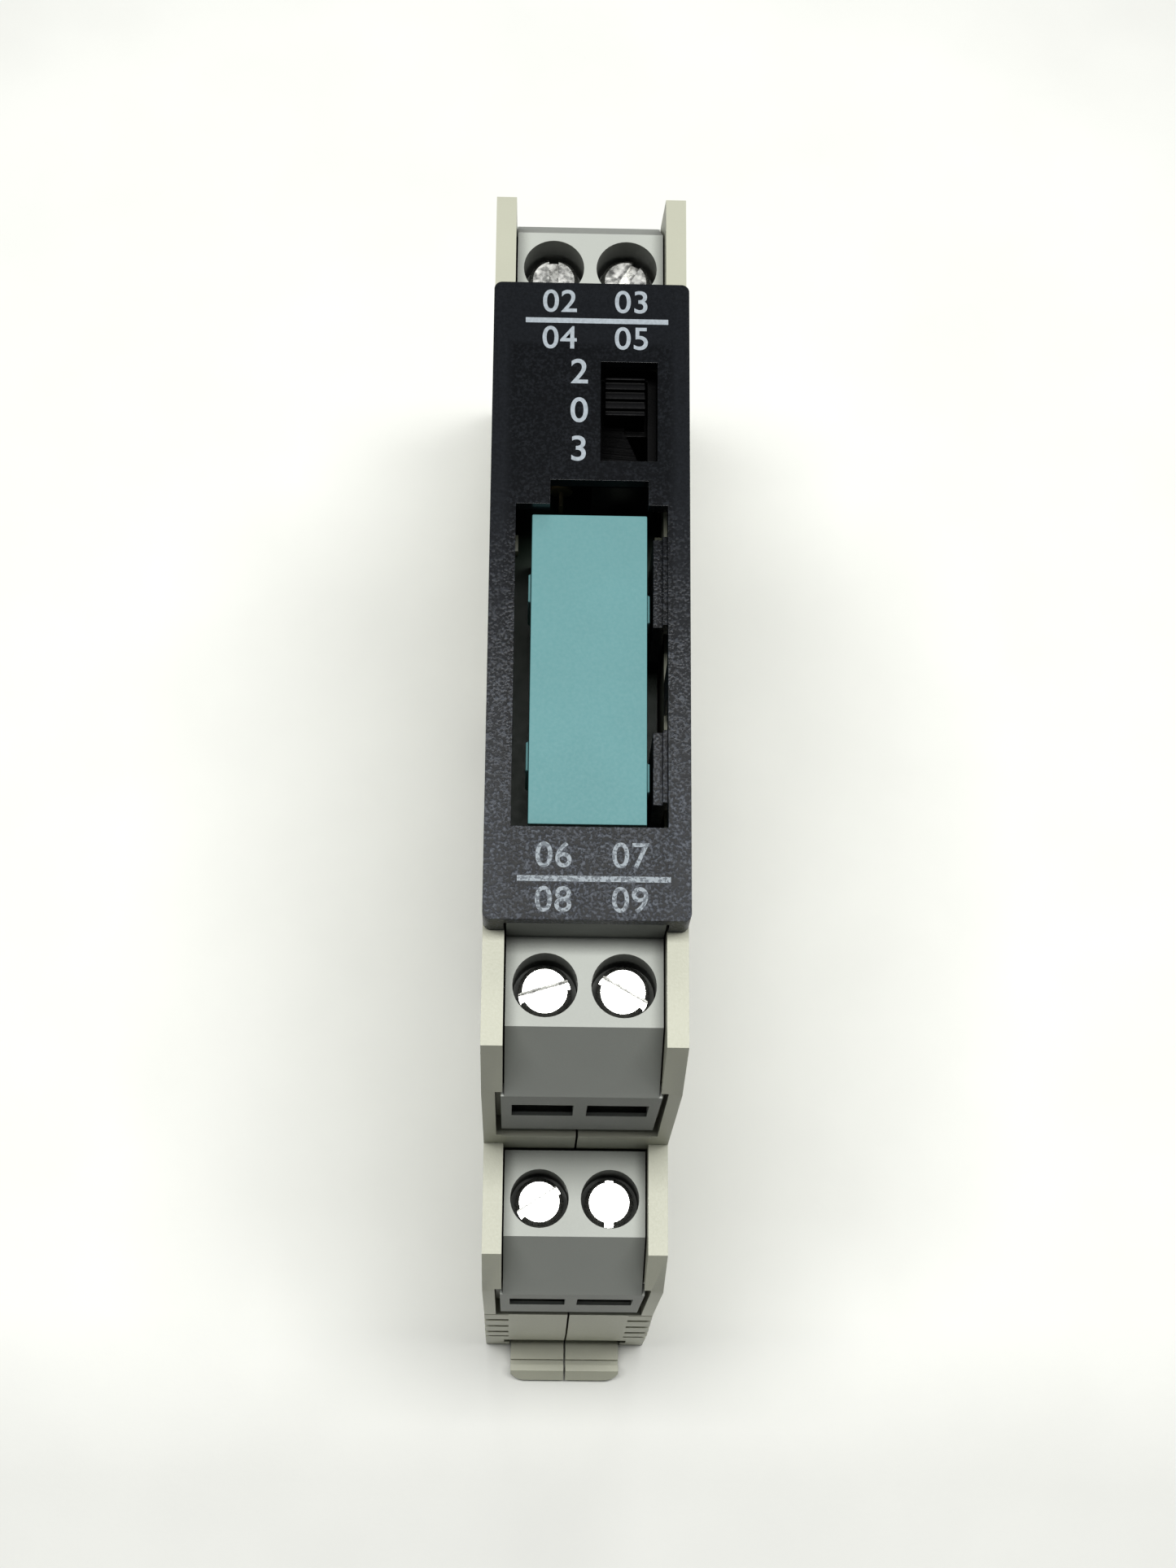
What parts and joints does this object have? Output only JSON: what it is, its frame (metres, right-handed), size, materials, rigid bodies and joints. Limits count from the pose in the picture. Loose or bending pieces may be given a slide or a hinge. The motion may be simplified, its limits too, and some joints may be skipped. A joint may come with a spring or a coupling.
{
  "type": "DIN rail coupling relay",
  "caption": "Slim DIN rail coupling relay with stepped screw terminals, smoked front cover, windowed card relay, slide switch and sprung rail latch.",
  "frame": {"origin": "under the middle of the whole, on the plane of the rail-side base that it lies on", "axes": "+X across the module width, +Y along the module towards the coil terminals, +Z out of the front"},
  "size_m": [0.0176, 0.1184, 0.088],
  "materials": {
    "ivory_plastic": "moulded ivory, fine texture",
    "grey_plastic": "moulded light grey",
    "smoked_plastic": "smoked translucent",
    "black_plastic": "black moulding",
    "teal_plastic": "turquoise satin",
    "white_plastic": "natural nylon",
    "nickel_steel": "nickel plated",
    "zinc_steel": "zinc plated",
    "brass": "rolled brass",
    "copper_winding": "enamelled copper wire",
    "contact_silver": "silver alloy",
    "board_green": "solder mask on laminate",
    "clear_lens": "clear epoxy",
    "resistor_body": "lacquered",
    "diode_body": "moulded black"
  },
  "bodies": {
    "housing": {"housing_left": "ivory_plastic", "housing_right": "ivory_plastic", "terminal_block_coil_upper": "grey_plastic", "terminal_block_coil_lower": "grey_plastic", "terminal_block_contact_upper": "grey_plastic", "terminal_block_contact_lower": "grey_plastic", "front_cover": "smoked_plastic", "strip_coil_upper_left": "brass", "strip_coil_upper_right": "brass", "strip_coil_lower_left": "brass", "strip_coil_lower_right": "brass", "strip_contact_upper_left": "brass", "strip_contact_upper_right": "brass", "strip_contact_lower_left": "brass", "strip_contact_lower_right": "brass", "switch_body": "black_plastic", "relay_base": "black_plastic", "relay_case": "teal_plastic", "relay_bobbin": "white_plastic", "relay_winding": "copper_winding", "relay_core": "zinc_steel", "relay_yoke": "zinc_steel", "latch_spring": "zinc_steel", "relay_coil_pin_left": "nickel_steel", "relay_coil_pin_right": "nickel_steel", "contact_common_pin": "brass", "contact_normally_closed": "contact_silver", "contact_normally_open": "contact_silver", "circuit_board": "board_green", "status_led": "clear_lens", "series_resistor": "resistor_body", "protection_diode": "diode_body"},
    "switch_knob": {"switch_knob": "black_plastic"},
    "relay_armature": {"relay_armature": "zinc_steel"},
    "contact_card": {"contact_card": "white_plastic"},
    "contact_spring": {"contact_spring": "brass"},
    "rail_latch": {"rail_latch_left": "ivory_plastic", "rail_latch_right": "ivory_plastic"},
    "screw_coil_upper_left": {"screw_coil_upper_left": "nickel_steel"},
    "clamp_coil_upper_left": {"clamp_coil_upper_left": "zinc_steel"},
    "screw_coil_upper_right": {"screw_coil_upper_right": "nickel_steel"},
    "clamp_coil_upper_right": {"clamp_coil_upper_right": "zinc_steel"},
    "screw_coil_lower_left": {"screw_coil_lower_left": "nickel_steel"},
    "clamp_coil_lower_left": {"clamp_coil_lower_left": "zinc_steel"},
    "screw_coil_lower_right": {"screw_coil_lower_right": "nickel_steel"},
    "clamp_coil_lower_right": {"clamp_coil_lower_right": "zinc_steel"},
    "screw_contact_upper_left": {"screw_contact_upper_left": "nickel_steel"},
    "clamp_contact_upper_left": {"clamp_contact_upper_left": "zinc_steel"},
    "screw_contact_upper_right": {"screw_contact_upper_right": "nickel_steel"},
    "clamp_contact_upper_right": {"clamp_contact_upper_right": "zinc_steel"},
    "screw_contact_lower_left": {"screw_contact_lower_left": "nickel_steel"},
    "clamp_contact_lower_left": {"clamp_contact_lower_left": "zinc_steel"},
    "screw_contact_lower_right": {"screw_contact_lower_right": "nickel_steel"},
    "clamp_contact_lower_right": {"clamp_contact_lower_right": "zinc_steel"}
  },
  "joints": [
    {"name": "switch_slide", "type": "slide", "parent": "housing", "child": "switch_knob", "axis": [0, -1, 0], "range_m": [0, 0.0048]},
    {"name": "latch_pull", "type": "slide", "parent": "housing", "child": "rail_latch", "axis": [0, -1, 0], "range_m": [0, 0.0026], "stiffness_N_per_m": 800, "springref_m": -0.003, "deforming": ["latch_spring"]},
    {"name": "armature_pivot", "type": "hinge", "parent": "housing", "child": "relay_armature", "pos_m": [0, -0.0076, 0.0772], "axis": [-1, 0, 0], "range_deg": [0, 6], "stiffness_Nm_per_rad": 0.0001, "springref_deg": -114.59},
    {"name": "card_slide", "type": "slide", "parent": "housing", "child": "contact_card", "axis": [0, 1, 0], "range_m": [0, 0.0009]},
    {"name": "contact_pivot", "type": "hinge", "parent": "housing", "child": "contact_spring", "pos_m": [0, -0.01205, 0.07605], "axis": [-1, 0, 0], "range_deg": [0, 6]},
    {"name": "screw_turn_coil_upper_left", "type": "hinge", "parent": "housing", "child": "screw_coil_upper_left", "pos_m": [-0.00337, 0.036, 0.079], "axis": [0, 0, -1], "range_deg": [0, 2160]},
    {"name": "clamp_rise_coil_upper_left", "type": "slide", "parent": "housing", "child": "clamp_coil_upper_left", "axis": [0, 0, 1], "range_m": [0, 0.003]},
    {"name": "screw_turn_coil_upper_right", "type": "hinge", "parent": "housing", "child": "screw_coil_upper_right", "pos_m": [0.00337, 0.036, 0.079], "axis": [0, 0, -1], "range_deg": [0, 2160]},
    {"name": "clamp_rise_coil_upper_right", "type": "slide", "parent": "housing", "child": "clamp_coil_upper_right", "axis": [0, 0, 1], "range_m": [0, 0.003]},
    {"name": "screw_turn_coil_lower_left", "type": "hinge", "parent": "housing", "child": "screw_coil_lower_left", "pos_m": [-0.00337, 0.0497, 0.047], "axis": [0, 0, -1], "range_deg": [0, 2160]},
    {"name": "clamp_rise_coil_lower_left", "type": "slide", "parent": "housing", "child": "clamp_coil_lower_left", "axis": [0, 0, 1], "range_m": [0, 0.003]},
    {"name": "screw_turn_coil_lower_right", "type": "hinge", "parent": "housing", "child": "screw_coil_lower_right", "pos_m": [0.00337, 0.0497, 0.047], "axis": [0, 0, -1], "range_deg": [0, 2160]},
    {"name": "clamp_rise_coil_lower_right", "type": "slide", "parent": "housing", "child": "clamp_coil_lower_right", "axis": [0, 0, 1], "range_m": [0, 0.003]},
    {"name": "screw_turn_contact_upper_left", "type": "hinge", "parent": "housing", "child": "screw_contact_upper_left", "pos_m": [-0.00337, -0.032, 0.079], "axis": [0, 0, -1], "range_deg": [0, 2160]},
    {"name": "clamp_rise_contact_upper_left", "type": "slide", "parent": "housing", "child": "clamp_contact_upper_left", "axis": [0, 0, 1], "range_m": [0, 0.003]},
    {"name": "screw_turn_contact_upper_right", "type": "hinge", "parent": "housing", "child": "screw_contact_upper_right", "pos_m": [0.00337, -0.032, 0.079], "axis": [0, 0, -1], "range_deg": [0, 2160]},
    {"name": "clamp_rise_contact_upper_right", "type": "slide", "parent": "housing", "child": "clamp_contact_upper_right", "axis": [0, 0, 1], "range_m": [0, 0.003]},
    {"name": "screw_turn_contact_lower_left", "type": "hinge", "parent": "housing", "child": "screw_contact_lower_left", "pos_m": [-0.00337, -0.0457, 0.047], "axis": [0, 0, -1], "range_deg": [0, 2160]},
    {"name": "clamp_rise_contact_lower_left", "type": "slide", "parent": "housing", "child": "clamp_contact_lower_left", "axis": [0, 0, 1], "range_m": [0, 0.003]},
    {"name": "screw_turn_contact_lower_right", "type": "hinge", "parent": "housing", "child": "screw_contact_lower_right", "pos_m": [0.00337, -0.0457, 0.047], "axis": [0, 0, -1], "range_deg": [0, 2160]},
    {"name": "clamp_rise_contact_lower_right", "type": "slide", "parent": "housing", "child": "clamp_contact_lower_right", "axis": [0, 0, 1], "range_m": [0, 0.003]}
  ],
  "couplings": [
    {"joint": "card_slide", "follows": "armature_pivot", "m_per_rad": 0.0076},
    {"joint": "contact_pivot", "follows": "armature_pivot", "ratio": 0.83},
    {"joint": "screw_turn_coil_upper_left", "follows": "clamp_rise_coil_upper_left", "rad_per_m": 12566},
    {"joint": "screw_turn_coil_upper_right", "follows": "clamp_rise_coil_upper_right", "rad_per_m": 12566},
    {"joint": "screw_turn_coil_lower_left", "follows": "clamp_rise_coil_lower_left", "rad_per_m": 12566},
    {"joint": "screw_turn_coil_lower_right", "follows": "clamp_rise_coil_lower_right", "rad_per_m": 12566},
    {"joint": "screw_turn_contact_upper_left", "follows": "clamp_rise_contact_upper_left", "rad_per_m": 12566},
    {"joint": "screw_turn_contact_upper_right", "follows": "clamp_rise_contact_upper_right", "rad_per_m": 12566},
    {"joint": "screw_turn_contact_lower_left", "follows": "clamp_rise_contact_lower_left", "rad_per_m": 12566},
    {"joint": "screw_turn_contact_lower_right", "follows": "clamp_rise_contact_lower_right", "rad_per_m": 12566}
  ]
}
